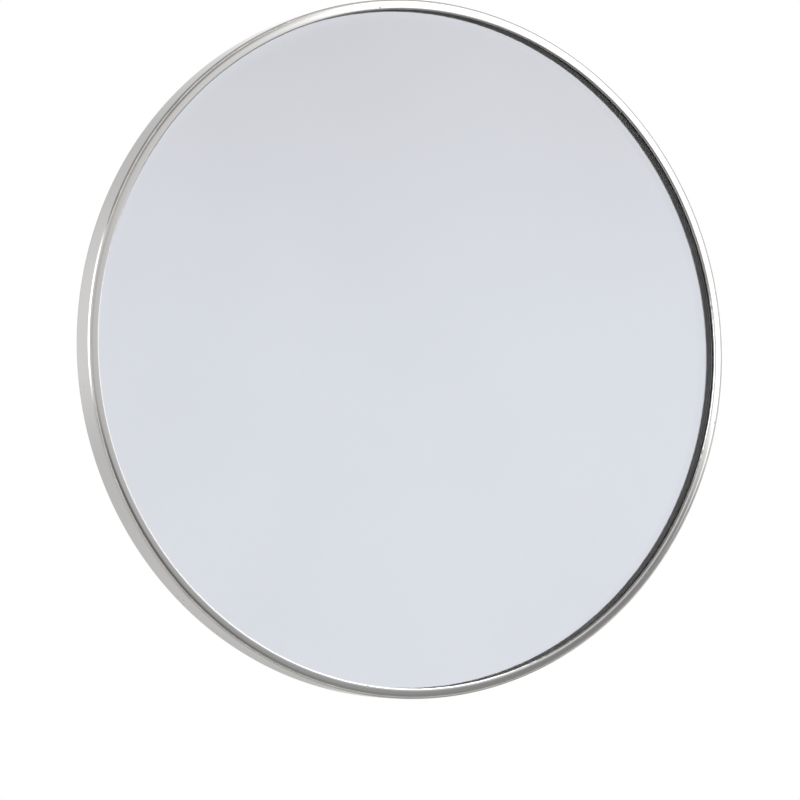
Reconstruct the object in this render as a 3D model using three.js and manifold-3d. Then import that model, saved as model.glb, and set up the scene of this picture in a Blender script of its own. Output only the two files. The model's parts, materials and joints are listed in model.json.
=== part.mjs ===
// Round convex mirror in a folded stainless rim, on a spring-loaded ball joint, a short stem
// and a folding knuckle, with a round foot that is screwed to a wall, a panel or a fixture.
// Millimetres, +Z up. The mirror faces -Y. The origin is the centre of the foot's rear face.
import * as THREE from 'three';
import { mergeVertices } from 'three/addons/utils/BufferGeometryUtils.js';
import Module from 'manifold-3d';

const wasm = await Module();
wasm.setup();

// ---- Driving dimensions ----------------------------------------------------------------

// Rim: one ring of folded sheet, with a front lip over the glass and a rear fold.
const RIM_RADIUS = 60;
const RIM_DEPTH = 6.4;
const RIM_SHEET = 0.4;
const RIM_INSIDE_BEND = 0.3;
const LIP_WIDTH = 1.8;
const FOLD_WIDTH = 2.6;

// Glass, its coating and the soft pieces round it.
const GLASS_CURVE_RADIUS = 1000;
const GLASS_THICKNESS = 1.8;
const GLASS_EDGE_BEVEL = 0.25;
const SEAL_THICKNESS = 0.5;
const COATING_THICKNESS = 0.15;
const COATING_MARGIN = 0.4;

// Back shell: a shallow spun dish with a flat middle.
const SHELL_SHEET = 0.6;
const SHELL_DOME_HEIGHT = 11.5;
const SHELL_FLAT_MARGIN = 0.8;    // the flat round the ball joint's flange

// Ball joint.
const BALL_RADIUS = 7;
const BALL_STANDOFF = 4.5;        // ball centre behind the shell's flat
const BALL_PAN_RANGE = 20;        // degrees each way, side to side
const BALL_TILT_RANGE = 20;       // degrees each way, up and down
const LINER_THICKNESS = 1.2;
const LINER_FRONT_OPENING = 25;   // degrees from the axis
const CUP_FLOOR = 1.8;
const CUP_SIDE_WALL = 1.35;
const CUP_CORNER = 0.9;
const CAN_SHEET = 1.0;
const SPRING_WIRE_RADIUS = 0.6;
const SPRING_RADIUS = 6.4;
const COLLAR_WALL = 2.5;
const COLLAR_FLANGE = 2.5;
const COLLAR_EDGE_ROUND = 0.8;
const COLLAR_GASKET = 0.8;

// Screws that clamp the ball joint to the shell.
const JOINT_SCREWS = 3;
const JOINT_SCREW_RADIUS = 1.5;
const JOINT_SCREW_PAST_NUT = 0.6;
const JOINT_HEAD_RADIUS = 2.6;
const JOINT_HEAD_HEIGHT = 1.9;
const JOINT_KEY_FLATS = 2;
const JOINT_NUT_FLATS = 5.5;
const JOINT_NUT_THICKNESS = 2.4;
const FIRST_SCREW_ANGLE = 90;     // degrees from +X towards +Z

// Arm: ball stud, lock nut and stem. The arm is as long as its pieces in a row.
const NECK_RADIUS = 3;
const THREAD_ENGAGEMENT = 9;      // of the stud in the stem
const STUD_END_BEVEL = 0.6;
const LOCK_NUT_FLATS = 10;
const LOCK_NUT_THICKNESS = 3.2;
const STEM_RADIUS = 5;
const STEM_LENGTH = 15;
const STEM_EDGE_BEVEL = 0.5;

// Knuckle: a socket for the stem on a barrel that turns round the pivot bolt.
const SOCKET_WALL = 2.8;
const SOCKET_LENGTH = 12;
const SOCKET_FLOOR = 1;
const SOCKET_EDGE_BEVEL = 1;
const BARREL_RADIUS = 7;
const BARREL_HEIGHT = 9;
const WEB_WIDTH = 10.5;
const WEB_STEP = 0.2;             // the web is this much lower than the barrel at each end
const SET_SCREW_RADIUS = 2.3;
const SET_SCREW_LENGTH = 5;
const SET_SCREW_POINT = 0.7;
const SET_SCREW_KEY_FLATS = 2.5;
const SET_SCREW_KEY_DEPTH = 2;
const SET_SCREW_BOSS_RADIUS = 4.4;
const SET_SCREW_BOSS_HEIGHT = 1.8;
const SET_SCREW_BOSS_BEVEL = 0.5;

// Foot and pivot.
const FOOT_RADIUS = 24;
const FOOT_THICKNESS = 4;
const FOOT_EDGE_ROUND = 1.4;
const FOOT_GASKET_THICKNESS = 1.5;
const PIVOT_STANDOFF = 17;        // rear face to the pivot's axis
const EAR_RADIUS = 7.5;
const EAR_THICKNESS = 4;
const EAR_ROOT_FLARE = 2.6;
const EAR_ROOT_HEIGHT = 3.9;
const EAR_EDGE_BEVEL = 0.5;
const PIVOT_RADIUS = 3;
const PIVOT_HEAD_RADIUS = 5;
const PIVOT_HEAD_HEIGHT = 4;
const PIVOT_KEY_FLATS = 4;
const PIVOT_NUT_FLATS = 10;
const PIVOT_NUT_THICKNESS = 4.4;
const PIVOT_NUT_DOME = 3.4;
const PIVOT_NUT_DOME_INSET = 0.2;
const WASHER_THICKNESS = 1;
const WASHER_RADIUS = 6.2;
const FRICTION_WASHER_RADIUS = 7;
const FOOT_HOLES = 4;
const FOOT_HOLE_RADIUS = 2.25;
const FOOT_COUNTERSINK = 1.9;
const FIRST_HOLE_ANGLE = 45;      // degrees from +X towards +Z

// Threads and button heads. A head's shape is given as shares of its radius and height.
const THREAD_BEVEL = 0.3;
const HEAD_SIDE = 0.3;            // of the height, straight up from the underside
const HEAD_SHOULDER = 0.92;       // of the radius, where the crown bends over
const HEAD_CROWN = 0.6;           // of the radius, flat on top
const KEY_DEPTH = 0.65;           // of the height

// Clearances.
const SEAT_GAP = 0.1;             // between coaxial pieces that rest on each other
const COATING_GAP = 0.05;
const SWIVEL_GAP = 0.2;           // all round the ball and round its liner
const HOLE_GAP = 0.3;             // round a bolt, a stem or a thread in its hole
const NECK_GAP = 0.8;             // between the neck and the collar at full swing
const COLLAR_TO_LOCK_NUT = 1.1;
const COLLAR_TO_SCREW_HEAD = 0.5;
const CAN_TO_NUT = 0.3;
const SCREW_HEAD_TO_EDGE = 0.4;   // from a joint screw's head to the flange's edge
const PAD_TO_CAN = 0.9;
const SPRING_END_GAP = 0.16;
const SPRING_COIL_GAP = 0.08;
const THREAD_END_GAP = 1.5;       // between the stud's end and the floor of the stem's bore
const BOLT_END_GAP = 0.9;         // between the pivot bolt's end and the floor of its nut
const SOCKET_TO_EAR = 1.5;

// Fineness of the round surfaces.
const RING_FACETS = 48;
const JOINT_FACETS = 24;
const SMALL_FACETS = 12;
const DOME_STEPS = 3;
const BEND_STEPS = 1;
const COLLAR_STEPS = 2;
const ROUND_STEPS = 3;
const CROWN_STEPS = 4;
const EAR_STEPS = 5;
const BALL_STEPS = 8;
const COIL_STEPS = 16;
const MERGE_DISTANCE = 1e-4;
const CUT_PAST = 1;               // how far a cutter reaches past the face it opens

// ---- Places worked out from the dimensions. Depths run back from the front of the rim. ----

const rimBend = RIM_SHEET + RIM_INSIDE_BEND;
const lipRadius = RIM_RADIUS - LIP_WIDTH;
const rimInside = RIM_RADIUS - RIM_SHEET;
const glassRadius = rimInside - SEAT_GAP - SEAL_THICKNESS - SEAT_GAP;
const curveCentre = RIM_SHEET + SEAT_GAP + Math.sqrt(GLASS_CURVE_RADIUS ** 2 - lipRadius ** 2);
const coatingOffset = GLASS_THICKNESS + COATING_GAP;
const padOffset = coatingOffset + COATING_THICKNESS + SEAT_GAP;

const flangeBack = RIM_DEPTH - RIM_SHEET - SEAT_GAP;
const flangeFront = flangeBack - SHELL_SHEET;
const padBack = flangeFront - SEAT_GAP;
const domeRadius = RIM_RADIUS - FOLD_WIDTH - HOLE_GAP;
const shellFlat = flangeBack + SHELL_DOME_HEIGHT;

const ballDepth = shellFlat + BALL_STANDOFF;
const linerInside = BALL_RADIUS + SWIVEL_GAP;
const linerOutside = linerInside + LINER_THICKNESS;
const seatRadius = linerOutside + SWIVEL_GAP;
const cupBack = shellFlat - SHELL_SHEET - SEAT_GAP;
const cupRadius = seatRadius + CUP_SIDE_WALL;
const cupFront = ballDepth - seatRadius - CUP_FLOOR;
const canInside = cupRadius + SWIVEL_GAP;
const canOutside = canInside + CAN_SHEET;
const canFlangeBack = cupBack;
const canBottom = padBack + PAD_TO_CAN;
const springRest = SPRING_WIRE_RADIUS + SPRING_END_GAP;
const springFront = canBottom + CAN_SHEET + springRest;
const springBack = cupFront - springRest;
const springTurns = (springBack - springFront) / (2 * SPRING_WIRE_RADIUS + SPRING_COIL_GAP);
const collarFront = shellFlat + SEAT_GAP + COLLAR_GASKET + SEAT_GAP;
const collarFlangeBack = collarFront + COLLAR_FLANGE;
const collarRadius = seatRadius + COLLAR_WALL;

// The joint's screws stand clear of the can inside the shell and of the collar outside it.
const screwCircle = Math.max(
  canOutside + CAN_TO_NUT + JOINT_NUT_FLATS / 2,
  collarRadius + COLLAR_TO_SCREW_HEAD + JOINT_HEAD_RADIUS,
);
const jointFlangeRadius = screwCircle + JOINT_HEAD_RADIUS + SCREW_HEAD_TO_EDGE;
const shellFlatRadius = jointFlangeRadius + SHELL_FLAT_MARGIN;

// Along the arm, measured back from the ball's centre.
const lockNutFront = collarRadius + COLLAR_TO_LOCK_NUT;
const stemFront = lockNutFront + LOCK_NUT_THICKNESS + HOLE_GAP;
const stemBoreEnd = stemFront + THREAD_ENGAGEMENT + THREAD_END_GAP;
const stemBack = stemFront + STEM_LENGTH;
const socketBoreEnd = stemBack + HOLE_GAP;
const socketBack = socketBoreEnd + SOCKET_FLOOR;
const socketMouth = socketBack - SOCKET_LENGTH;
const socketBore = STEM_RADIUS + HOLE_GAP;
const socketRadius = socketBore + SOCKET_WALL;
const setScrewPlace = (socketMouth + socketBack) / 2;
const armLength = socketBack + SOCKET_TO_EAR + EAR_RADIUS;
const headReach = PIVOT_STANDOFF + armLength + ballDepth;

const earInside = BARREL_HEIGHT / 2 + SEAT_GAP + WASHER_THICKNESS + SEAT_GAP;
const earOutside = earInside + EAR_THICKNESS;
const washerOutside = earOutside + SEAT_GAP + WASHER_THICKNESS;
const footBack = -FOOT_GASKET_THICKNESS - SEAT_GAP;
const footFront = footBack - FOOT_THICKNESS;
const countersinkRadius = FOOT_HOLE_RADIUS + FOOT_COUNTERSINK;
const footHoleCircle = FOOT_RADIUS - FOOT_EDGE_ROUND - countersinkRadius;

// ---- Finishes --------------------------------------------------------------------------

const finish = (color, roughness, metalness) => ({ color, roughness, metalness });
const POLISHED_STEEL = finish(0xd4d6d8, 0.18, 1);
const BRUSHED_STEEL = finish(0xbfc1c3, 0.35, 1);
const ZINC_STEEL = finish(0xa9acae, 0.4, 1);
const CLEAR_GLASS = finish(0xe6f0ee, 0.02, 0);
const SILVER = finish(0xe4e7ec, 0.02, 1);
const BLACK_RUBBER = finish(0x1c1b1a, 0.8, 0);
const GREY_FOAM = finish(0x4a4b4d, 0.95, 0);
const NYLON = finish(0xd9d6cc, 0.5, 0);

// ---- Geometry helpers ------------------------------------------------------------------

const radians = THREE.MathUtils.degToRad;

// A solid turned round the Y axis. The profile is a list of (radius, height) points that
// starts and ends on the axis or is closed here.
function turned(points, facets = RING_FACETS) {
  const profile = [...points];
  const closed = profile[0].x > 0 || profile.at(-1).x > 0;
  if (closed) profile.push(profile[0].clone());
  if (THREE.ShapeUtils.area(profile) < 0) profile.reverse();
  return new THREE.LatheGeometry(profile, facets);
}

const turnedUpright = (points, facets) => turned(points, facets).rotateX(Math.PI / 2);

const outline = (pairs) => pairs.map(([radius, height]) => new THREE.Vector2(radius, height));

function disc(radius, low, high, facets = SMALL_FACETS) {
  return turned(outline([[0, low], [radius, low], [radius, high], [0, high]]), facets);
}

const uprightDisc = (radius, low, high, facets) => disc(radius, low, high, facets).rotateX(Math.PI / 2);

function ring(inner, outer, low, high, facets = SMALL_FACETS) {
  return turned(outline([[inner, low], [outer, low], [outer, high], [inner, high]]), facets);
}

function hexagon(acrossFlats) {
  const corner = acrossFlats / Math.sqrt(3);
  const shape = new THREE.Shape();
  for (let i = 0; i < 6; i += 1) {
    const angle = radians(60 * i);
    const place = [corner * Math.cos(angle), corner * Math.sin(angle)];
    if (i === 0) shape.moveTo(...place);
    else shape.lineTo(...place);
  }
  shape.closePath();
  return shape;
}

// A hexagonal prism along +Y from low to high.
function hexPrism(acrossFlats, low, high) {
  const depth = high - low;
  const prism = new THREE.ExtrudeGeometry(hexagon(acrossFlats), { depth, bevelEnabled: false });
  return prism.rotateX(-Math.PI / 2).translate(0, low, 0);
}

function toSolid(geometry) {
  const bare = geometry.clone();
  bare.deleteAttribute('normal');
  bare.deleteAttribute('uv');
  const merged = mergeVertices(bare, MERGE_DISTANCE);
  return new wasm.Manifold(new wasm.Mesh({
    numProp: 3,
    vertProperties: new Float32Array(merged.attributes.position.array),
    triVerts: new Uint32Array(merged.index.array),
  }));
}

function toGeometry(solid) {
  const { vertProperties, triVerts } = solid.getMesh();
  const geometry = new THREE.BufferGeometry();
  geometry.setAttribute('position', new THREE.BufferAttribute(new Float32Array(vertProperties), 3));
  geometry.setIndex(new THREE.BufferAttribute(new Uint32Array(triVerts), 1));
  geometry.computeVertexNormals();
  return geometry;
}

// Joins the first list of geometries and cuts the second list out of the result.
function carve(joined, cuts) {
  const body = joined.map(toSolid).reduce((sum, piece) => sum.add(piece));
  return toGeometry(cuts.map(toSolid).reduce((rest, cut) => rest.subtract(cut), body));
}

function piece(name, geometry, look) {
  const mesh = new THREE.Mesh(geometry, new THREE.MeshStandardMaterial(look));
  mesh.name = name;
  return mesh;
}

function group(y, ...members) {
  const holder = new THREE.Group();
  holder.position.y = y;
  holder.add(...members);
  return holder;
}

// Copies of a geometry's maker on a circle round the Y axis.
function onCircle(count, circle, firstDegrees, make) {
  return Array.from({ length: count }, (_, i) => {
    const angle = radians(firstDegrees + (360 * i) / count);
    return make(i, circle * Math.cos(angle), circle * Math.sin(angle));
  });
}

// ---- Head: rim, glass and shell --------------------------------------------------------

function rim() {
  const bendCentre = RIM_RADIUS - rimBend;
  const path = new THREE.Path();
  path.moveTo(lipRadius, 0);
  path.lineTo(bendCentre, 0);
  path.absarc(bendCentre, rimBend, rimBend, -Math.PI / 2, 0, false);
  path.absarc(bendCentre, RIM_DEPTH - rimBend, rimBend, 0, Math.PI / 2, false);
  path.lineTo(RIM_RADIUS - FOLD_WIDTH, RIM_DEPTH);
  path.lineTo(RIM_RADIUS - FOLD_WIDTH, RIM_DEPTH - RIM_SHEET);
  path.absarc(bendCentre, RIM_DEPTH - rimBend, RIM_INSIDE_BEND, Math.PI / 2, 0, true);
  path.absarc(bendCentre, rimBend, RIM_INSIDE_BEND, 0, -Math.PI / 2, true);
  path.lineTo(lipRadius, RIM_SHEET);
  return turned(path.getPoints(BEND_STEPS));
}

// Points of a surface that runs parallel to the glass front, from the axis out to a radius.
function curvedFace(offset, radius) {
  const bend = GLASS_CURVE_RADIUS - offset;
  return Array.from({ length: DOME_STEPS + 1 }, (_, i) => {
    const r = (radius * i) / DOME_STEPS;
    return new THREE.Vector2(r, curveCentre - Math.sqrt(bend ** 2 - r ** 2));
  });
}

function mirrorGlass() {
  const front = curvedFace(0, glassRadius - GLASS_EDGE_BEVEL);
  const back = curvedFace(GLASS_THICKNESS, glassRadius - GLASS_EDGE_BEVEL);
  const edgeFront = new THREE.Vector2(glassRadius, front.at(-1).y + GLASS_EDGE_BEVEL);
  const edgeBack = new THREE.Vector2(glassRadius, back.at(-1).y - GLASS_EDGE_BEVEL);
  return turned([...front, edgeFront, edgeBack, ...back.reverse()]);
}

function silverCoating() {
  const radius = glassRadius - COATING_MARGIN;
  const back = curvedFace(coatingOffset + COATING_THICKNESS, radius);
  return turned([...curvedFace(coatingOffset, radius), ...back.reverse()]);
}

function backingPad() {
  const front = curvedFace(padOffset, glassRadius);
  return turned([...front, ...outline([[glassRadius, padBack], [0, padBack]])]);
}

function edgeSeal() {
  const inner = glassRadius + SEAT_GAP;
  const outer = rimInside - SEAT_GAP;
  const front = RIM_SHEET + SEAT_GAP;
  return turned(outline([[inner, front], [inner, padBack], [outer, padBack], [outer, rimBend]]));
}

// Cutters for the joint's screws through a sheet that lies between two depths.
function screwHoles(front, back) {
  const radius = JOINT_SCREW_RADIUS + HOLE_GAP;
  return onCircle(JOINT_SCREWS, screwCircle, FIRST_SCREW_ANGLE, (i, x, z) => (
    disc(radius, front - CUT_PAST, back + CUT_PAST).translate(x, 0, z)));
}

function backShell() {
  const rise = SHELL_DOME_HEIGHT;
  const span = domeRadius - shellFlatRadius;
  const sheet = SHELL_SHEET;
  const quarter = Math.PI / 2;
  const path = new THREE.Path();
  path.moveTo(RIM_RADIUS - rimBend - SEAT_GAP, flangeFront);
  path.lineTo(RIM_RADIUS - rimBend - SEAT_GAP, flangeBack);
  path.absellipse(shellFlatRadius, flangeBack, span, rise, 0, quarter, false, 0);
  path.lineTo(seatRadius + HOLE_GAP, shellFlat);
  path.lineTo(seatRadius + HOLE_GAP, shellFlat - sheet);
  path.absellipse(shellFlatRadius, flangeBack, span - sheet, rise - sheet, quarter, 0, true, 0);
  path.lineTo(domeRadius - sheet, flangeFront);
  const holes = screwHoles(shellFlat - sheet, shellFlat);
  return carve([turned(path.getPoints(DOME_STEPS))], holes);
}

// ---- Head: ball joint ------------------------------------------------------------------

function socketCan() {
  const flangeFace = canFlangeBack - CAN_SHEET;
  const can = turned(outline([
    [0, canBottom], [canInside, canBottom], [canOutside, canBottom + CAN_SHEET],
    [canOutside, flangeFace], [jointFlangeRadius, flangeFace], [jointFlangeRadius, canFlangeBack],
    [canInside, canFlangeBack], [canInside, canBottom + CAN_SHEET], [0, canBottom + CAN_SHEET],
  ]), JOINT_FACETS);
  return carve([can], screwHoles(flangeFace, canFlangeBack));
}

class Helix extends THREE.Curve {
  constructor(radius, low, high, turns) {
    super();
    Object.assign(this, { radius, low, high, turns });
  }

  getPoint(t, target = new THREE.Vector3()) {
    const angle = 2 * Math.PI * this.turns * t;
    const y = THREE.MathUtils.lerp(this.low, this.high, t);
    return target.set(this.radius * Math.cos(angle), y, this.radius * Math.sin(angle));
  }
}

function pressureSpring() {
  const helix = new Helix(SPRING_RADIUS, springFront, springBack, springTurns);
  const wire = new THREE.Shape().absarc(0, 0, SPRING_WIRE_RADIUS, 0, 2 * Math.PI, false);
  const steps = Math.ceil(COIL_STEPS * springTurns);
  return new THREE.ExtrudeGeometry(wire, {
    steps, extrudePath: helix, bevelEnabled: false, curveSegments: 4,
  });
}

function pressureCup() {
  const cover = Math.acos((ballDepth - cupBack) / seatRadius);
  const path = new THREE.Path();
  path.absarc(0, ballDepth, seatRadius, -Math.PI / 2, cover - Math.PI / 2, false);
  path.lineTo(cupRadius, cupBack);
  path.lineTo(cupRadius, cupFront + CUP_CORNER);
  path.lineTo(cupRadius - CUP_CORNER, cupFront);
  path.lineTo(0, cupFront);
  const points = path.getPoints(ROUND_STEPS);
  points[0].x = 0;
  return turned(points, JOINT_FACETS);
}

// How far the neck's opening reaches from the rear axis, seen from the ball's centre.
function neckOpening(swing, radius) {
  return radians(swing) + Math.asin((NECK_RADIUS + NECK_GAP) / radius);
}

function ballLiner() {
  const front = radians(LINER_FRONT_OPENING) - Math.PI / 2;
  const back = Math.PI / 2 - neckOpening(BALL_PAN_RANGE, linerInside);
  const path = new THREE.Path();
  path.absarc(0, 0, linerOutside, front, back, false);
  path.absarc(0, 0, linerInside, back, front, true);
  return turned(path.getPoints(CROWN_STEPS), JOINT_FACETS);
}

function ballCollar() {
  const swing = Math.hypot(BALL_PAN_RANGE, BALL_TILT_RANGE);
  const back = Math.PI / 2 - neckOpening(swing, seatRadius);
  const root = Math.asin((collarFlangeBack - ballDepth) / collarRadius);
  const round = COLLAR_EDGE_ROUND;
  const path = new THREE.Path();
  path.moveTo(seatRadius, collarFront);
  path.lineTo(seatRadius, ballDepth);
  path.absarc(0, ballDepth, seatRadius, 0, back, false);
  path.absarc(0, ballDepth, collarRadius, back, root, true);
  path.absarc(jointFlangeRadius - round, collarFlangeBack - round, round, Math.PI / 2, 0, true);
  path.lineTo(jointFlangeRadius, collarFront);
  const collar = turned(path.getPoints(COLLAR_STEPS), JOINT_FACETS);
  return carve([collar], screwHoles(collarFront, collarFlangeBack));
}

function collarGasket() {
  const front = shellFlat + SEAT_GAP;
  const back = front + COLLAR_GASKET;
  const gasket = ring(seatRadius + HOLE_GAP, jointFlangeRadius, front, back, JOINT_FACETS);
  return carve([gasket], screwHoles(front, back));
}

// A button-head screw along Y: the head's underside is at 0 and the shank runs to -length.
function buttonScrew(radius, length, headRadius, headHeight, keyFlats) {
  const shoulder = headRadius * HEAD_SHOULDER;
  const path = new THREE.Path();
  path.moveTo(0, -length);
  path.lineTo(radius - THREAD_BEVEL, -length);
  path.lineTo(radius, -length + THREAD_BEVEL);
  path.lineTo(radius, 0);
  path.lineTo(headRadius, 0);
  path.lineTo(headRadius, headHeight * HEAD_SIDE);
  path.quadraticCurveTo(shoulder, headHeight, headRadius * HEAD_CROWN, headHeight);
  path.lineTo(0, headHeight);
  const recess = hexPrism(keyFlats, headHeight * (1 - KEY_DEPTH), headHeight + CUT_PAST);
  return carve([turned(path.getPoints(CROWN_STEPS), SMALL_FACETS)], [recess]);
}

function hexNut(acrossFlats, thickness, threadRadius) {
  const hole = disc(threadRadius + HOLE_GAP, -CUT_PAST, thickness + CUT_PAST);
  return carve([hexPrism(acrossFlats, 0, thickness)], [hole]);
}

function jointScrews() {
  const nutBack = canFlangeBack - CAN_SHEET - SEAT_GAP;
  const nutFront = nutBack - JOINT_NUT_THICKNESS;
  const head = collarFlangeBack + SEAT_GAP;
  const length = head - nutFront + JOINT_SCREW_PAST_NUT;
  return onCircle(JOINT_SCREWS, screwCircle, FIRST_SCREW_ANGLE, (i, x, z) => {
    const screw = buttonScrew(
      JOINT_SCREW_RADIUS, length, JOINT_HEAD_RADIUS, JOINT_HEAD_HEIGHT, JOINT_KEY_FLATS);
    const nut = hexNut(JOINT_NUT_FLATS, JOINT_NUT_THICKNESS, JOINT_SCREW_RADIUS);
    const screwMesh = piece(`joint_screw_${i + 1}`, screw, ZINC_STEEL);
    const nutMesh = piece(`joint_nut_${i + 1}`, nut, ZINC_STEEL);
    screwMesh.position.set(x, head, z);
    nutMesh.position.set(x, nutFront, z);
    return [screwMesh, nutMesh];
  }).flat();
}

function head() {
  return group(
    -headReach,
    piece('rim', rim(), POLISHED_STEEL),
    piece('mirror_glass', mirrorGlass(), CLEAR_GLASS),
    piece('silver_coating', silverCoating(), SILVER),
    piece('edge_seal', edgeSeal(), BLACK_RUBBER),
    piece('backing_pad', backingPad(), GREY_FOAM),
    piece('back_shell', backShell(), BRUSHED_STEEL),
    piece('socket_can', socketCan(), ZINC_STEEL),
    piece('pressure_spring', pressureSpring(), ZINC_STEEL),
    piece('pressure_cup', pressureCup(), NYLON),
    piece('collar_gasket', collarGasket(), BLACK_RUBBER),
    piece('ball_collar', ballCollar(), POLISHED_STEEL),
    ...jointScrews(),
  );
}

// ---- Arm: heights run back from the ball's centre ---------------------------------------

function ballStud() {
  const neck = Math.acos(NECK_RADIUS / BALL_RADIUS);
  const end = stemFront + THREAD_ENGAGEMENT;
  const path = new THREE.Path();
  path.absarc(0, 0, BALL_RADIUS, -Math.PI / 2, neck, false);
  path.lineTo(NECK_RADIUS, end - STUD_END_BEVEL);
  path.lineTo(NECK_RADIUS - STUD_END_BEVEL, end);
  path.lineTo(0, end);
  const points = path.getPoints(BALL_STEPS);
  points[0].x = 0;
  return turned(points, JOINT_FACETS);
}

function stemRod() {
  const bore = NECK_RADIUS + HOLE_GAP;
  const edge = STEM_EDGE_BEVEL;
  return turned(outline([
    [0, stemBoreEnd], [bore, stemBoreEnd], [bore, stemFront], [STEM_RADIUS - edge, stemFront],
    [STEM_RADIUS, stemFront + edge], [STEM_RADIUS, stemBack - edge],
    [STEM_RADIUS - edge, stemBack], [0, stemBack],
  ]), JOINT_FACETS);
}

function lockNut() {
  return hexNut(LOCK_NUT_FLATS, LOCK_NUT_THICKNESS, NECK_RADIUS).translate(0, lockNutFront, 0);
}

function knuckle() {
  const edge = SOCKET_EDGE_BEVEL;
  const half = BARREL_HEIGHT / 2;
  const socket = turned(outline([
    [0, socketMouth], [socketRadius - edge, socketMouth], [socketRadius, socketMouth + edge],
    [socketRadius, socketBack - edge], [socketRadius - edge, socketBack], [0, socketBack],
  ]), JOINT_FACETS);
  const barrel = uprightDisc(BARREL_RADIUS, -half, half, JOINT_FACETS).translate(0, armLength, 0);
  const webLength = armLength - socketBack + edge;
  const web = new THREE.BoxGeometry(WEB_WIDTH, webLength, BARREL_HEIGHT - 2 * WEB_STEP)
    .translate(0, armLength - webLength / 2, 0);
  const stemHole = disc(socketBore, socketMouth - CUT_PAST, socketBoreEnd, JOINT_FACETS);
  const pivotHole = uprightDisc(PIVOT_RADIUS + HOLE_GAP, -half - CUT_PAST, half + CUT_PAST)
    .translate(0, armLength, 0);
  return carve([socket, barrel, web, setScrewBoss()], [stemHole, pivotHole, setScrewHole()]);
}

// The boss under the socket that gives the set screw more thread.
const bossBottom = -socketRadius - SET_SCREW_BOSS_HEIGHT;

function setScrewBoss() {
  const edge = SET_SCREW_BOSS_BEVEL;
  return turnedUpright(outline([
    [0, bossBottom], [SET_SCREW_BOSS_RADIUS - edge, bossBottom],
    [SET_SCREW_BOSS_RADIUS, bossBottom + edge], [SET_SCREW_BOSS_RADIUS, -socketBore],
    [0, -socketBore],
  ]), SMALL_FACETS).translate(0, setScrewPlace, 0);
}

function setScrewHole() {
  return uprightDisc(SET_SCREW_RADIUS + HOLE_GAP, bossBottom - CUT_PAST, CUT_PAST - socketBore)
    .translate(0, setScrewPlace, 0);
}

function setScrew() {
  const tip = -socketBore;
  const bottom = tip - SET_SCREW_LENGTH;
  const body = turnedUpright(outline([
    [0, bottom], [SET_SCREW_RADIUS - THREAD_BEVEL, bottom],
    [SET_SCREW_RADIUS, bottom + THREAD_BEVEL], [SET_SCREW_RADIUS, tip - SET_SCREW_POINT],
    [SET_SCREW_RADIUS - SET_SCREW_POINT, tip], [0, tip],
  ]), SMALL_FACETS);
  const recess = hexPrism(SET_SCREW_KEY_FLATS, bottom - CUT_PAST, bottom + SET_SCREW_KEY_DEPTH)
    .rotateX(Math.PI / 2);
  return carve([body], [recess]).translate(0, setScrewPlace, 0);
}

function arm() {
  return group(
    -PIVOT_STANDOFF - armLength,
    piece('ball_liner', ballLiner(), NYLON),
    piece('ball_stud', ballStud(), POLISHED_STEEL),
    piece('lock_nut', lockNut(), ZINC_STEEL),
    piece('stem_rod', stemRod(), POLISHED_STEEL),
    piece('swivel_knuckle', knuckle(), BRUSHED_STEEL),
    piece('stem_set_screw', setScrew(), ZINC_STEEL),
  );
}

// ---- Foot and pivot --------------------------------------------------------------------

function ear() {
  const root = footFront + FOOT_THICKNESS / 2;
  const flare = EAR_RADIUS + EAR_ROOT_FLARE;
  const straight = footFront - EAR_ROOT_HEIGHT;
  const shape = new THREE.Shape();
  shape.moveTo(flare, root);
  shape.lineTo(flare, footFront);
  shape.quadraticCurveTo(EAR_RADIUS, footFront, EAR_RADIUS, straight);
  shape.absarc(0, -PIVOT_STANDOFF, EAR_RADIUS, 0, -Math.PI, true);
  shape.lineTo(-EAR_RADIUS, straight);
  shape.quadraticCurveTo(-EAR_RADIUS, footFront, -flare, footFront);
  shape.lineTo(-flare, root);
  shape.closePath();
  return new THREE.ExtrudeGeometry(shape, {
    depth: EAR_THICKNESS - 2 * EAR_EDGE_BEVEL,
    bevelThickness: EAR_EDGE_BEVEL,
    bevelSize: EAR_EDGE_BEVEL,
    bevelOffset: -EAR_EDGE_BEVEL,
    bevelSegments: 1,
    curveSegments: EAR_STEPS,
  }).translate(0, 0, EAR_EDGE_BEVEL);
}

function footHoles(makeHole) {
  return onCircle(FOOT_HOLES, footHoleCircle, FIRST_HOLE_ANGLE, (i, x, z) => (
    makeHole().translate(x, 0, z)));
}

function countersunkHole() {
  return turned(outline([
    [0, footFront - CUT_PAST], [countersinkRadius + CUT_PAST, footFront - CUT_PAST],
    [FOOT_HOLE_RADIUS, footFront + FOOT_COUNTERSINK], [FOOT_HOLE_RADIUS, footBack + CUT_PAST],
    [0, footBack + CUT_PAST],
  ]), SMALL_FACETS);
}

function footBracket() {
  const path = new THREE.Path();
  const round = FOOT_EDGE_ROUND;
  path.moveTo(0, footFront);
  path.lineTo(FOOT_RADIUS - round, footFront);
  path.absarc(FOOT_RADIUS - round, footFront + round, round, -Math.PI / 2, 0, false);
  path.lineTo(FOOT_RADIUS, footBack);
  path.lineTo(0, footBack);
  const plate = turned(path.getPoints(ROUND_STEPS));
  const upper = ear().translate(0, 0, earInside);
  const lower = ear().translate(0, 0, -earOutside);
  const reach = earOutside + CUT_PAST;
  const pivotHole = uprightDisc(PIVOT_RADIUS + HOLE_GAP, -reach, reach)
    .translate(0, -PIVOT_STANDOFF, 0);
  return carve([plate, upper, lower], [pivotHole, ...footHoles(countersunkHole)]);
}

function footGasket() {
  const plate = disc(FOOT_RADIUS, -FOOT_GASKET_THICKNESS, 0, RING_FACETS);
  const hole = () => disc(FOOT_HOLE_RADIUS, -FOOT_GASKET_THICKNESS - CUT_PAST, CUT_PAST);
  return carve([plate], footHoles(hole));
}

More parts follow.
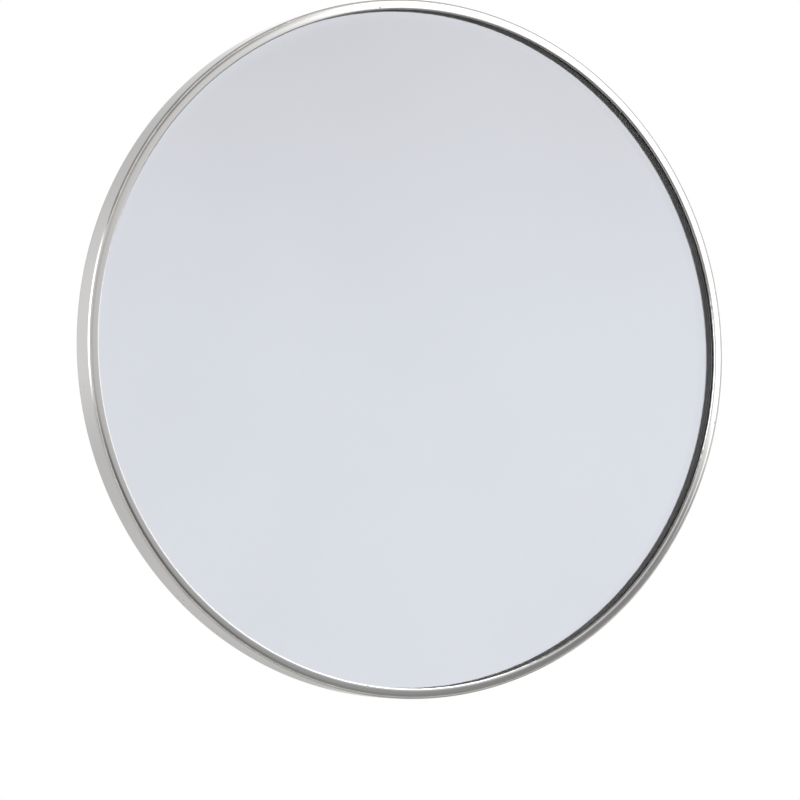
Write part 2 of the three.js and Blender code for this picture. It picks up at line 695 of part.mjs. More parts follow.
function pivotBolt() {
  const length = 2 * washerOutside + PIVOT_NUT_THICKNESS;
  return buttonScrew(PIVOT_RADIUS, length, PIVOT_HEAD_RADIUS, PIVOT_HEAD_HEIGHT, PIVOT_KEY_FLATS)
    .rotateX(Math.PI / 2).translate(0, 0, washerOutside + SEAT_GAP);
}

// A domed nut under the lower ear, with its hole open at the top.
function domeNut() {
  const domeRim = PIVOT_NUT_FLATS / 2 - PIVOT_NUT_DOME_INSET;
  const path = new THREE.Path();
  path.moveTo(0, -PIVOT_NUT_THICKNESS / 2);
  path.lineTo(domeRim, -PIVOT_NUT_THICKNESS / 2);
  path.absellipse(0, 0, domeRim, PIVOT_NUT_DOME, 0, Math.PI / 2, false, 0);
  const points = path.getPoints(CROWN_STEPS);
  points.at(-1).x = 0;
  const dome = turned(points, SMALL_FACETS);
  const body = hexPrism(PIVOT_NUT_FLATS, -PIVOT_NUT_THICKNESS, 0);
  const boltEnd = -2 * SEAT_GAP;
  const hole = disc(PIVOT_RADIUS + HOLE_GAP, -PIVOT_NUT_THICKNESS - CUT_PAST, boltEnd + BOLT_END_GAP);
  const high = -washerOutside - SEAT_GAP - PIVOT_NUT_THICKNESS;
  return carve([dome, body], [hole]).rotateX(-Math.PI / 2).translate(0, 0, high);
}

function pivotWashers() {
  const hole = PIVOT_RADIUS + HOLE_GAP;
  const makeWasher = (name, radius, look, low) => {
    const washer = ring(hole, radius, low, low + WASHER_THICKNESS, JOINT_FACETS);
    return piece(name, washer.rotateX(Math.PI / 2), look);
  };
  const inside = BARREL_HEIGHT / 2 + SEAT_GAP;
  const outside = earOutside + SEAT_GAP;
  return [
    makeWasher('friction_washer_upper', FRICTION_WASHER_RADIUS, NYLON, inside),
    makeWasher('friction_washer_lower', FRICTION_WASHER_RADIUS, NYLON, -inside - WASHER_THICKNESS),
    makeWasher('bolt_washer_upper', WASHER_RADIUS, ZINC_STEEL, outside),
    makeWasher('bolt_washer_lower', WASHER_RADIUS, ZINC_STEEL, -outside - WASHER_THICKNESS),
  ];
}

function foot() {
  return group(
    0,
    piece('foot_gasket', footGasket(), BLACK_RUBBER),
    piece('foot_bracket', footBracket(), BRUSHED_STEEL),
    group(
      -PIVOT_STANDOFF,
      piece('pivot_bolt', pivotBolt(), ZINC_STEEL),
      piece('pivot_nut', domeNut(), ZINC_STEEL),
      ...pivotWashers(),
    ),
  );
}

const mirror = new THREE.Group();
mirror.add(foot(), arm(), head());

export default mirror;
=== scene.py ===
"""Looks of a round convex mirror on a ball-jointed arm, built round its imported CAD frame.

Metres, +Z up; the mirror faces -Y. Depths run back (+Y) from the front of the rim.
"""
import json
import math

import bmesh
import bpy
from mathutils import Matrix, Vector, noise


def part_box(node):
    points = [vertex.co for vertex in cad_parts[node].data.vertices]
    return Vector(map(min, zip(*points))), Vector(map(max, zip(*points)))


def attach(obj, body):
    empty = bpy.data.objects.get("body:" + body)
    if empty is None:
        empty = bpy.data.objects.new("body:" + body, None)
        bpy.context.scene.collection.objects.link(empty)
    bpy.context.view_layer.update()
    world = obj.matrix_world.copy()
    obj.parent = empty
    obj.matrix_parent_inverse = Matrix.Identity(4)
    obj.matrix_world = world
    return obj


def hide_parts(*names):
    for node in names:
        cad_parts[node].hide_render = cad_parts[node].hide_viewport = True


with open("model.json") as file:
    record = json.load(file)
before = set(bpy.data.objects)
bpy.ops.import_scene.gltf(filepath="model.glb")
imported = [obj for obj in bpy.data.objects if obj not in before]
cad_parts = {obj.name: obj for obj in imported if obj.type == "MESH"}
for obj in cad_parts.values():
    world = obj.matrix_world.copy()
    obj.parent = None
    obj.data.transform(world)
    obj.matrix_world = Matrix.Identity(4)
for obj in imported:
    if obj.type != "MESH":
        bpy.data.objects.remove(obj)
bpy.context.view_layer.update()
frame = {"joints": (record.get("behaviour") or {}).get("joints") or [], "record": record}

MM = 0.001

# ---- Sizes that the frame's boxes don't give -----------------------------------------------

RIM_SHEET = 0.4 * MM
RIM_BEND = 0.7 * MM           # outside radius of the rim's front and rear bends
RIM_FOLD = 2.6 * MM           # width of the rear fold
LIP_WIDTH = 1.8 * MM
LIP_SLOPE = 7.0               # degrees that the lip falls back towards its outer edge
LIP_EDGE = 0.25 * MM          # rounding of the lip's cut edge
CROWN_RADIUS = 1.7 * MM       # between the flat of the lip and the front bend
CROWN_END = 26.0              # degrees where the crown passes into the bend
FRONT_BEND = 0.6 * MM
LIP_RAGGED = 0.05 * MM
GLASS_CURVE = 1000 * MM
GLASS_THICKNESS = 1.8 * MM
GLASS_BEVEL = 0.25 * MM
SHELL_SHEET = 0.6 * MM
SHELL_FLAT = 18 * MM
SEAT_GAP = 0.1 * MM
HOLE_GAP = 0.3 * MM
COATING_FRONT = GLASS_THICKNESS + 0.05 * MM
COATING_BACK = COATING_FRONT + 0.15 * MM

COLLAR_WALL = 2.5 * MM
COLLAR_FLANGE = 2.5 * MM
LINER_WALL = 1.2 * MM
CAN_SHEET = 1.0 * MM
SEAT_CLEARANCE = 0.2 * MM     # between the liner or cup and what it sits in
JOINT_SCREWS = 3
JOINT_SCREW_RADIUS = 1.5 * MM
JOINT_SCREW_HEAD = 2.6 * MM
JOINT_SCREW_SOCKET = 2.0 * MM
JOINT_NUT_FLATS = 5.5 * MM

BOLT_RADIUS = 3 * MM          # the stud, the stem's tapped hole and the pivot bolt share it
BOLT_FLATS = 10 * MM
BOLT_HEAD = 5 * MM
BOLT_SOCKET = 4.0 * MM
SET_SCREW_RADIUS = 2.3 * MM
SET_SCREW_SOCKET = 2.5 * MM
THREAD_PITCH = 0.8 * MM
STEM_HOLE_DEPTH = 10.5 * MM
SOCKET_HOLE_DEPTH = 11 * MM
SOCKET_TO_PIVOT = 9 * MM
BARREL_RADIUS = 7 * MM
WEB_HALF = 5.25 * MM
WEB_ROUND = 1.2 * MM
BOSS_RADIUS = 4.4 * MM

FOOT_PLATE = 4 * MM
FOOT_ROUND = 1.4 * MM
FOOT_HOLES = 4
FOOT_HOLE_RADIUS = 2.25 * MM
FOOT_SINK = 1.9 * MM
EAR_RADIUS = 7.5 * MM
EAR_FLARE = 2.6 * MM
EAR_OVERLAP = 2 * MM          # how far an ear's root runs into the plate

RING_STEPS = 360
JOINT_STEPS = 96
SMALL_STEPS = 48


# ---- Places read from the frame -------------------------------------------------------------

class Span:
    """The box of a CAD node, as spans along the axes and a radius round the mirror's axis."""

    def __init__(self, node):
        low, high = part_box(node)
        self.low, self.high = low, high
        self.front, self.back = low.y, high.y
        self.radius = high.x
        self.centre = (low + high) / 2


joint_place = {joint["name"]: Vector(joint.get("pos_m", (0, 0, 0))) for joint in frame["joints"]}
BALL = joint_place["head_pan"]
PIVOT = joint_place["arm_fold"]

rim_span = Span("rim")
FRONT = rim_span.front
RIM_RADIUS = rim_span.radius
LIP_RADIUS = RIM_RADIUS - LIP_WIDTH


# ---- Mesh helpers ---------------------------------------------------------------------------

def new_object(name, mesh):
    obj = bpy.data.objects.new(name, mesh)
    bpy.context.scene.collection.objects.link(obj)
    return obj


def soften(obj, angle=32):
    """Smooth shading, with the edges sharper than angle kept sharp."""
    bm = bmesh.new()
    bm.from_mesh(obj.data)
    limit = math.radians(angle)
    for face in bm.faces:
        face.smooth = True
    for edge in bm.edges:
        edge.smooth = len(edge.link_faces) == 2 and edge.calc_face_angle(0) < limit
    bm.to_mesh(obj.data)
    bm.free()
    return obj


def arc(centre, radius, start, end, steps):
    """Points of an arc in the profile plane. Angles are in degrees, 0 outward and 90 rearward."""
    cr, cd = centre
    angles = [math.radians(start + (end - start) * i / steps) for i in range(steps + 1)]
    return [(cr + radius * math.cos(a), cd + radius * math.sin(a)) for a in angles]


def rounded(points, steps=4):
    """A closed outline with its corners rounded. Each point is (x, y) or (x, y, corner radius)."""
    out = []
    count = len(points)
    for i, point in enumerate(points):
        here = Vector(point[:2])
        radius = point[2] if len(point) > 2 else 0
        if radius <= 0:
            out.append(tuple(here))
            continue
        before = Vector(points[i - 1][:2]) - here
        after = Vector(points[(i + 1) % count][:2]) - here
        turn = before.angle(after)
        reach = radius / math.tan(turn / 2)
        reach = min(reach, before.length * 0.49, after.length * 0.49)
        radius = reach * math.tan(turn / 2)
        start = here + before.normalized() * reach
        end = here + after.normalized() * reach
        centre = here + (before.normalized() + after.normalized()).normalized() * math.hypot(radius, reach)
        a0 = math.atan2(start.y - centre.y, start.x - centre.x)
        a1 = math.atan2(end.y - centre.y, end.x - centre.x)
        sweep = (a1 - a0 + math.pi) % (2 * math.pi) - math.pi
        for k in range(steps + 1):
            a = a0 + sweep * k / steps
            out.append((centre.x + radius * math.cos(a), centre.y + radius * math.sin(a)))
    return out


def lathe(name, profile, steps=JOINT_STEPS, axis="Y", centre=(0, 0, 0), shift=None):
    """A closed solid turned round an axis from a closed outline of (radius, height) points.

    Points on the axis become one vertex. shift(angle, radius, height) may return a small
    change of (radius, height).
    """
    bm = bmesh.new()
    columns = []
    centre = Vector(centre)
    for radius, height in profile:
        if radius < 1e-7:
            columns.append([bm.verts.new(place_on(axis, 0, 0, height) + centre)] * steps)
            continue
        column = []
        for k in range(steps):
            angle = 2 * math.pi * k / steps
            dr, dh = shift(angle, radius, height) if shift else (0, 0)
            column.append(bm.verts.new(place_on(axis, angle, radius + dr, height + dh) + centre))
        columns.append(column)
    for i, column in enumerate(columns):
        following = columns[(i + 1) % len(columns)]
        for k in range(steps):
            corners = [column[k], column[(k + 1) % steps], following[(k + 1) % steps], following[k]]
            corners = [v for j, v in enumerate(corners) if v not in corners[:j]]
            if len(corners) > 2:
                bm.faces.new(corners)
    bmesh.ops.recalc_face_normals(bm, faces=bm.faces)
    mesh = bpy.data.meshes.new(name)
    bm.to_mesh(mesh)
    bm.free()
    return new_object(name, mesh)


def place_on(axis, angle, radius, height):
    across, along = radius * math.cos(angle), radius * math.sin(angle)
    return Vector((across, height, along)) if axis == "Y" else Vector((across, along, height))


def prism(name, outline, low, high, axis="Y", centre=(0, 0, 0), bevel=0.0):
    """An outline extruded along an axis. On Y the outline is (x, z); on Z it is (x, y)."""
    bm = bmesh.new()

    def corner(point, height):
        x, other = point
        at = Vector((x, height, other)) if axis == "Y" else Vector((x, other, height))
        return bm.verts.new(at + Vector(centre))

    bottom = [corner(point, low) for point in outline]
    top = [corner(point, high) for point in outline]
    caps = [bm.faces.new(bottom), bm.faces.new(list(reversed(top)))]
    for i in range(len(outline)):
        j = (i + 1) % len(outline)
        bm.faces.new([bottom[i], top[i], top[j], bottom[j]])
    if bevel:
        rims = [edge for face in caps for edge in face.edges]
        bmesh.ops.bevel(bm, geom=rims, offset=bevel, segments=3, profile=0.5, affect="EDGES")
    bmesh.ops.recalc_face_normals(bm, faces=bm.faces)
    mesh = bpy.data.meshes.new(name)
    bm.to_mesh(mesh)
    bm.free()
    return new_object(name, mesh)


def hexagon(flats):
    corner = flats / math.sqrt(3)
    return [(corner * math.cos(math.radians(60 * i)), corner * math.sin(math.radians(60 * i)))
            for i in range(6)]


def combine(body, others, operation):
    """Joins others to body or cuts them out of it, and removes them."""
    for other in others:
        modifier = body.modifiers.new("boolean", "BOOLEAN")
        modifier.operation = operation
        modifier.solver = "EXACT"
        modifier.object = other
        graph = bpy.context.evaluated_depsgraph_get()
        mesh = bpy.data.meshes.new_from_object(body.evaluated_get(graph))
        body.modifiers.clear()
        old = body.data
        body.data = mesh
        bpy.data.meshes.remove(old)
        bpy.data.objects.remove(other)
    return body


def cut(body, *others):
    return combine(body, others, "DIFFERENCE")


def join(body, *others):
    return combine(body, others, "UNION")


def bore(axis, radius, low, high, centre=(0, 0, 0), steps=SMALL_STEPS):
    return lathe("bore", [(0, low), (radius, low), (radius, high), (0, high)], steps, axis, centre)


# ---- Material helpers ------------------------------------------------------------------------

class Nodes:
    """A small builder for one material's or world's node tree."""

    def __init__(self, tree):
        self.tree = tree

    def add(self, kind, inputs=None, **settings):
        node = self.tree.nodes.new(kind)
        for key, value in settings.items():
            setattr(node, key, value)
        for key, value in (inputs or {}).items():
            if isinstance(value, bpy.types.NodeSocket):
                self.tree.links.new(value, node.inputs[key])
            else:
                node.inputs[key].default_value = value
        return node

    def math(self, operation, a, b=0.0):
        return self.add("ShaderNodeMath", {0: a, 1: b}, operation=operation).outputs[0]

    def spread(self, value, low, high, out_low, out_high, kind="SMOOTHSTEP"):
        node = self.add("ShaderNodeMapRange", {
            "Value": value, "From Min": low, "From Max": high, "To Min": out_low, "To Max": out_high,
        }, interpolation_type=kind)
        return node.outputs["Result"]

    def noise(self, vector, scale, detail=2.0, rough=0.5):
        return self.add("ShaderNodeTexNoise", {
            "Vector": vector, "Scale": scale, "Detail": detail, "Roughness": rough,
        }).outputs["Fac"]

    def blend(self, factor, a, b):
        node = self.add("ShaderNodeMix", {"Factor": factor}, data_type="RGBA")
        for key, value in ((6, a), (7, b)):
            if isinstance(value, bpy.types.NodeSocket):
                self.tree.links.new(value, node.inputs[key])
            else:
                node.inputs[key].default_value = (*value, 1)
        return node.outputs[2]

    def bump(self, height, strength, distance, normal=None):
        inputs = {"Height": height, "Strength": strength, "Distance": distance}
        if normal is not None:
            inputs["Normal"] = normal
        return self.add("ShaderNodeBump", inputs).outputs["Normal"]


def material(name):
    """A new material with its node builder, its shader and the piece's own coordinates."""
    made = bpy.data.materials.new(name)
    made.use_nodes = True
    nodes = Nodes(made.node_tree)
    shader = made.node_tree.nodes["Principled BSDF"]
    place = nodes.add("ShaderNodeTexCoord").outputs["Object"]
    return made, nodes, shader, place


def link(nodes, output, shader, key):
    nodes.tree.links.new(output, shader.inputs[key])


def around_axis(nodes, place):
    """(radius, height, angle) round the mirror's axis, for marks that a lathe or a cloth leaves."""
    x, y, z = nodes.add("ShaderNodeSeparateXYZ", {0: place}).outputs
    radius = nodes.math("SQRT", nodes.math("ADD", nodes.math("MULTIPLY", x, x), nodes.math("MULTIPLY", z, z)))
    angle = nodes.math("ARCTAN2", z, x)
    return nodes.add("ShaderNodeCombineXYZ", {0: radius, 1: y, 2: angle}).outputs[0]


def stretched(nodes, vector, scale):
    return nodes.add("ShaderNodeMapping", {"Vector": vector, "Scale": scale}).outputs[0]


def pits(nodes, place, scale, share):
    """A mask of small scattered pits, 1 in a pit."""
    cells = nodes.add("ShaderNodeTexVoronoi", {"Vector": place, "Scale": scale}).outputs["Distance"]
    where = nodes.noise(place, scale * 0.11, 1.0)
    small = nodes.spread(cells, 0.10, 0.22, 1, 0)
    chosen = nodes.spread(where, share, share + 0.04, 0, 1)
    return nodes.math("MULTIPLY", small, chosen)


def metal(name, colour, roughness, lines, line_scale, pit_share=0.62, tint_spread=0.05):
    """Turned or brushed bare metal: fine lines round the axis, soft cloudy patches and pits."""
    made, nodes, shader, place = material(name)
    polar = around_axis(nodes, place)
    fine = nodes.noise(stretched(nodes, polar, line_scale), 1.0, 3.0, 0.6)
    cloud = nodes.noise(place, 90.0, 3.0)
    darker = tuple(c * (1 - tint_spread) for c in colour)
    tone = nodes.blend(cloud, darker, colour)
    pit = pits(nodes, place, 900.0, pit_share)
    tone = nodes.blend(nodes.math("MULTIPLY", pit, 0.5), tone, (0.10, 0.09, 0.08))
    link(nodes, tone, shader, "Base Color")
    rough = nodes.math("ADD", nodes.spread(fine, 0.3, 0.7, roughness * 0.75, roughness * 1.3, "LINEAR"),
                       nodes.math("MULTIPLY", cloud, roughness * 0.3))
    link(nodes, rough, shader, "Roughness")
    shader.inputs["Metallic"].default_value = 1.0
    grooves = nodes.bump(fine, lines, 0.00002)
    link(nodes, nodes.bump(pit, 0.35, -0.00003, grooves), shader, "Normal")
    return made


def polished_stainless():
    return metal("polished_stainless", (0.83, 0.82, 0.81), 0.085, 0.10, (14000, 14000, 3.0))


def dull_inside_painted_light():
    """The inside of the folded ring, which was never polished: dull and cloudy. Its pale, warm tone is
    painted light, standing in for the light that the shut fold hardly gets.
    """
    made, nodes, shader, place = material("rim_inside_painted_light")
    cloud = nodes.noise(place, 260.0, 4.0, 0.6)
    # Painted light: this pale, warm tone stands in for light that the fold hardly gets.
    link(nodes, nodes.blend(cloud, (0.60, 0.55, 0.50), (0.88, 0.85, 0.81)), shader, "Base Color")
    link(nodes, nodes.spread(cloud, 0.3, 0.7, 0.45, 0.75), shader, "Roughness")
    link(nodes, nodes.bump(nodes.noise(place, 1500.0, 3.0), 0.5, 0.00003), shader, "Normal")
    shader.inputs["Metallic"].default_value = 0.3
    return made


def brushed_stainless():
    return metal("brushed_stainless", (0.66, 0.66, 0.67), 0.27, 0.35, (9000, 9000, 5.0), 0.66)


def zinc():
    return metal("zinc_steel", (0.60, 0.62, 0.65), 0.30, 0.15, (4000, 4000, 8.0), 0.58, 0.12)


def glass():
    made, nodes, shader, place = material("clear_glass")
    haze = nodes.noise(place, 35.0, 4.0)
    link(nodes, nodes.spread(haze, 0.45, 0.8, 0.0, 0.012), shader, "Roughness")
    link(nodes, nodes.blend(haze, (0.985, 0.995, 0.99), (0.97, 0.985, 0.98)), shader, "Base Color")
    shader.inputs["Transmission Weight"].default_value = 1.0
    shader.inputs["IOR"].default_value = 1.52
    return made


def silver():
    made, nodes, shader, place = material("mirror_silver")
    cloud = nodes.noise(place, 22.0, 2.0)
    link(nodes, nodes.blend(cloud, (0.90, 0.915, 0.955), (0.925, 0.94, 0.98)), shader, "Base Color")
    shader.inputs["Metallic"].default_value = 1.0
    shader.inputs["Roughness"].default_value = 0.02
    return made


def rubber():
    made, nodes, shader, place = material("black_rubber")
    grain = nodes.noise(place, 2500.0, 3.0)
    link(nodes, nodes.blend(grain, (0.038, 0.033, 0.029), (0.075, 0.067, 0.060)), shader, "Base Color")
    link(nodes, nodes.spread(grain, 0.2, 0.8, 0.55, 0.85), shader, "Roughness")
    link(nodes, nodes.bump(grain, 0.4, 0.00003), shader, "Normal")
    return made


def foam():
    made, nodes, shader, place = material("grey_foam")
    cells = nodes.add("ShaderNodeTexVoronoi", {"Vector": place, "Scale": 1600.0}).outputs["Distance"]
    link(nodes, nodes.blend(cells, (0.05, 0.05, 0.055), (0.13, 0.13, 0.14)), shader, "Base Color")
    link(nodes, nodes.bump(cells, 0.6, 0.0001), shader, "Normal")
    shader.inputs["Roughness"].default_value = 0.95
    return made


def nylon():
    made, nodes, shader, place = material("nylon")
    grain = nodes.noise(place, 700.0, 3.0)
    link(nodes, nodes.blend(grain, (0.66, 0.63, 0.56), (0.76, 0.73, 0.66)), shader, "Base Color")
    link(nodes, nodes.spread(grain, 0.2, 0.8, 0.4, 0.55), shader, "Roughness")
    link(nodes, nodes.bump(grain, 0.15, 0.00004), shader, "Normal")
    shader.inputs["Subsurface Weight"].default_value = 0.08
    shader.inputs["Subsurface Scale"].default_value = 0.002
    return made


FINISHES = {
    "polished_stainless": polished_stainless(),
    "brushed_stainless": brushed_stainless(),
    "zinc_steel": zinc(),
    "clear_glass": glass(),
    "mirror_silver": silver(),
    "black_rubber": rubber(),
    "grey_foam": foam(),
    "nylon": nylon(),
}
SLOT_OF = {row["node"]: row["material_slot"] for row in frame["record"]["subparts"]}
BODY_OF = {node: body for body, nodes in frame["record"]["behaviour"]["bodies"].items() for node in nodes}


def stand_in(piece, node, angle=32):
    """The piece takes the CAD node's place, body, slot and finish."""
    piece.name = f"{node}_shape"
    soften(piece, angle)
    piece.data.materials.clear()
    piece.data.materials.append(FINISHES[SLOT_OF[node]])
    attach(piece, BODY_OF[node])
    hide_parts(node)
    return piece


# ---- Head ------------------------------------------------------------------------------------

def at_depth(points):
    """Profile points (radius, depth behind the rim's front) as (radius, y)."""
    return [(radius, FRONT + depth) for radius, depth in points]


def front_of_rim():
    """The outside of the lip from its cut edge to the wall: edge round, flat, crown and bend."""
    bend = (RIM_RADIUS - FRONT_BEND, FRONT_BEND)
    turn = math.radians(CROWN_END)
    reach = CROWN_RADIUS - FRONT_BEND
    crown = (bend[0] - reach * math.sin(turn), bend[1] + reach * math.cos(turn))
    points = arc(crown, CROWN_RADIUS, -90 + LIP_SLOPE, -90 + CROWN_END, 8)
    points += arc(bend, FRONT_BEND, -90 + CROWN_END, 0, 14)[1:]
    edge = (LIP_RADIUS + LIP_EDGE, LIP_EDGE)
    start = arc(edge, LIP_EDGE, 180, 270 + LIP_SLOPE, 8)
    fall = (points[0][0] - start[-1][0]) * math.tan(math.radians(LIP_SLOPE))
    lower = start[-1][1] + fall - points[0][1]
    return [(LIP_RADIUS, RIM_SHEET)] + start + [(radius, behind + lower) for radius, behind in points]


def rim():
    depth = rim_span.back - FRONT
    bend = RIM_RADIUS - RIM_BEND
    inner_bend = RIM_BEND - RIM_SHEET
    points = front_of_rim()
    wall = points[-1][1]
    points += [(RIM_RADIUS, wall + (depth - RIM_BEND - wall) * k / 6) for k in range(1, 6)]
    points += arc((bend, depth - RIM_BEND), RIM_BEND, 0, 90, 12)
    fold = RIM_RADIUS - RIM_FOLD
    points += arc((fold + RIM_SHEET / 2, depth - RIM_SHEET / 2), RIM_SHEET / 2, 90, 270, 6)
    points += arc((bend, depth - RIM_BEND), inner_bend, 90, 0, 8)
    points += arc((bend, RIM_SHEET + inner_bend), inner_bend, 0, -90, 8)

    def uneven(angle, radius, y):
        """The lip's cut edge is a little ragged, and the whole ring has slight waves."""
        around = Vector((math.cos(angle), math.sin(angle), 0))
        near = max(0.0, 1 - (radius - LIP_RADIUS) / (2 * LIP_EDGE))
        coarse = noise.noise(around * 22)
        fine = noise.noise(around * 75 + Vector((0, 0, 7)))
        wave = noise.noise(around * 3 + Vector((5, 0, y * 200)))
        return near * LIP_RAGGED * (0.5 * coarse + 0.9 * fine) - abs(wave) * 0.012 * MM, 0

    piece = lathe("rim_shape", at_depth(points), RING_STEPS * 3, shift=uneven)
    stand_in(piece, "rim", 40)
    # The faces inside the fold take the inside finish, whose pale tone is painted light.
    piece.data.materials.append(dull_inside_painted_light())
    skin = RIM_SHEET / 2
    for face in piece.data.polygons:
        radius = math.hypot(face.center.x, face.center.z)
        behind = face.center.y - FRONT
        if radius < RIM_RADIUS - skin and skin < behind < depth - skin:
            face.material_index = 1


def curve_depth(offset, radius):
    """Depth of a surface parallel to the glass front, offset behind it."""
    centre = RIM_SHEET + SEAT_GAP + math.sqrt(GLASS_CURVE ** 2 - LIP_RADIUS ** 2)
    return centre - math.sqrt((GLASS_CURVE - offset) ** 2 - radius ** 2)


def curved_disc(node, front_offset, back_offset, bevel):
    """A disc that follows the glass's curve."""
    radius = Span(node).radius
    count = 24
    stations = [(radius - bevel) * i / count for i in range(count + 1)]
    front = [(r, curve_depth(front_offset, r)) for r in stations]
    back = [(r, curve_depth(back_offset, r)) for r in reversed(stations)]
    edge = []
    if bevel:
        corner_front = front[-1][1] + bevel
        corner_back = back[0][1] - bevel
        edge = arc((radius - bevel, corner_front), bevel, -80, 0, 4)
        edge += arc((radius - bevel, corner_back), bevel, 0, 80, 4)
    piece = lathe(node, at_depth(front + edge + back), RING_STEPS)
    return stand_in(piece, node)


def backing_pad():
    radius = Span("backing_pad").radius
    back = Span("backing_pad").back - FRONT
    count = 16
    front = [(radius * i / count, curve_depth(COATING_BACK + SEAT_GAP, radius * i / count))
             for i in range(count + 1)]
    outline = front[:-1] + rounded([(*front[-1], 0.3 * MM), (radius, back, 0.5 * MM), (0, back)])[:-1]
    outline.append((0, back))
    piece = lathe("backing_pad_shape", at_depth(outline), RING_STEPS)
    stand_in(piece, "backing_pad")


def edge_seal():
    span = Span("edge_seal")
    inner = span.radius - 0.5 * MM
    front = span.front - FRONT
    back = span.back - FRONT
    round_ = 0.15 * MM
    outline = rounded([
        (inner, front, 0.08 * MM), (inner, back, round_), (span.radius, back, round_),
        (span.radius, RIM_BEND + 0.1 * MM, round_),
    ])
    stand_in(lathe("edge_seal_shape", at_depth(outline), RING_STEPS), "edge_seal")


def back_shell():
    span = Span("back_shell")
    flange_front = span.front - FRONT
    flange_back = flange_front + SHELL_SHEET
    flat = span.back - FRONT
    rise = flat - flange_back
    dome = RIM_RADIUS - RIM_FOLD - HOLE_GAP
    across = dome - SHELL_FLAT
    hole = Span("collar_gasket").radius
    hole_radius = collar_bore() + HOLE_GAP
    steps = 40

    def ellipse(shrink, start, end):
        angles = [math.radians(start + (end - start) * i / steps) for i in range(steps + 1)]
        return [(SHELL_FLAT + (across - shrink) * math.cos(a),
                 flange_back + (rise - shrink) * math.sin(a)) for a in angles]

    points = [(span.radius, flange_front), (span.radius, flange_back)]
    points += ellipse(0, 0, 90)
    points += [(hole, flat), (hole_radius, flat), (hole_radius, flat - SHELL_SHEET)]
    points += ellipse(SHELL_SHEET, 90, 0)
    points += [(dome - SHELL_SHEET, flange_front)]
    piece = lathe("back_shell_shape", at_depth(points), RING_STEPS)
    cut(piece, *screw_bores(FRONT + flat))
    stand_in(piece, "back_shell")


def collar_bore():
    """The radius of the ball joint's seat, from the liner's box."""
    return Span("ball_liner").radius + SEAT_CLEARANCE


def screw_bores(y, reach=4 * MM):
    """Cutters for the joint screws' holes, reaching both ways from y."""
    bores = []
    for i in range(JOINT_SCREWS):
        at = Span(f"joint_screw_{i + 1}").centre
        bores.append(bore("Y", JOINT_SCREW_RADIUS + HOLE_GAP, y - reach, y + reach, (at.x, 0, at.z), 32))
    return bores


def socket_can():
    span = Span("socket_can")
    sheet = CAN_SHEET
    low, high = span.front, span.back
    inside = Span("pressure_cup").radius + SEAT_CLEARANCE
    outside = inside + sheet
    points = rounded([
        (0, low), (outside, low, 1.2 * MM), (outside, high - sheet, 0.5 * MM),
        (span.radius, high - sheet, 0.2 * MM), (span.radius, high, 0.2 * MM),
        (inside, high, 0.3 * MM), (inside, low + sheet, 0.4 * MM), (0, low + sheet),
    ])
    piece = lathe("socket_can_shape", points)
    cut(piece, *screw_bores(high))
    stand_in(piece, "socket_can")


def pressure_spring():
    span = Span("pressure_spring")
    wire = 0.6 * MM
    radius = span.radius - wire
    turns, per_turn, sides = 2.25, 40, 16
    low, high = span.front + wire, span.back - wire
    count = int(turns * per_turn)
    bm = bmesh.new()
    rings = []
    for i in range(count + 1):
        t = i / count
        angle = 2 * math.pi * turns * t
        centre = Vector((radius * math.cos(angle), low + (high - low) * t, radius * math.sin(angle)))
        outward = Vector((math.cos(angle), 0, math.sin(angle)))
        ring = []
        for k in range(sides):
            turn = 2 * math.pi * k / sides
            spoke = outward * math.cos(turn) + Vector((0, 1, 0)) * math.sin(turn)
            ring.append(bm.verts.new(centre + wire * 0.98 * spoke))
        rings.append(ring)
    for a, b in zip(rings, rings[1:]):
        for k in range(sides):
            bm.faces.new([a[k], a[(k + 1) % sides], b[(k + 1) % sides], b[k]])
    bm.faces.new(rings[0])
    bm.faces.new(list(reversed(rings[-1])))
    bmesh.ops.recalc_face_normals(bm, faces=bm.faces)
    mesh = bpy.data.meshes.new("pressure_spring_shape")
    bm.to_mesh(mesh)
    bm.free()
    stand_in(new_object("pressure_spring_shape", mesh), "pressure_spring")


def pressure_cup():
    span = Span("pressure_cup")
    seat = collar_bore()
    front, back = span.front, span.back
    cover = math.degrees(math.acos((BALL.y - back) / seat))
    points = [(r, BALL.y + a) for r, a in arc((0, 0), seat, -90, cover - 90, 20)]
    points[0] = (0, points[0][1])
    points += rounded([(span.radius, back, 0.3 * MM), (span.radius, front, 0.9 * MM), (0, front)])
    stand_in(lathe("pressure_cup_shape", points), "pressure_cup")


def ball_liner():
    outside = Span("ball_liner").radius
    inside = outside - LINER_WALL
    low, high = Span("ball_liner").front - BALL.y, Span("ball_liner").back - BALL.y
    start = -math.degrees(math.asin(-low / outside))
    end = math.degrees(math.asin(high / outside))
    points = arc((0, 0), outside, start, end, 40) + arc((0, 0), inside, end, start, 40)
    points = [(r, BALL.y + a) for r, a in points]
    stand_in(lathe("ball_liner_shape", points), "ball_liner")


def ball_collar():
    span = Span("ball_collar")
    seat = collar_bore()
    outer = seat + COLLAR_WALL
    flange_back = span.front + COLLAR_FLANGE
    edge = math.degrees(math.asin((span.back - BALL.y) / outer))
    root = math.degrees(math.asin((flange_back - BALL.y) / outer))
    fillet = 0.5 * MM
    foot_radius = outer * math.cos(math.radians(root + 4))
    points = [(r, BALL.y + a) for r, a in arc((0, 0), seat, 0, edge - 1.5, 20)]
    points += [(r, BALL.y + a) for r, a in arc((0, 0), outer, edge, root + 4, 24)]
    points += arc((foot_radius + fillet, flange_back + fillet), fillet, 180, 270, 6)[:-1]
    points += rounded([
        (foot_radius + fillet, flange_back), (span.radius, flange_back, 0.8 * MM),
        (span.radius, span.front, 0.2 * MM), (seat, span.front),
    ])
    piece = lathe("ball_collar_shape", points, 128)
    cut(piece, *screw_bores(flange_back))
    stand_in(piece, "ball_collar")


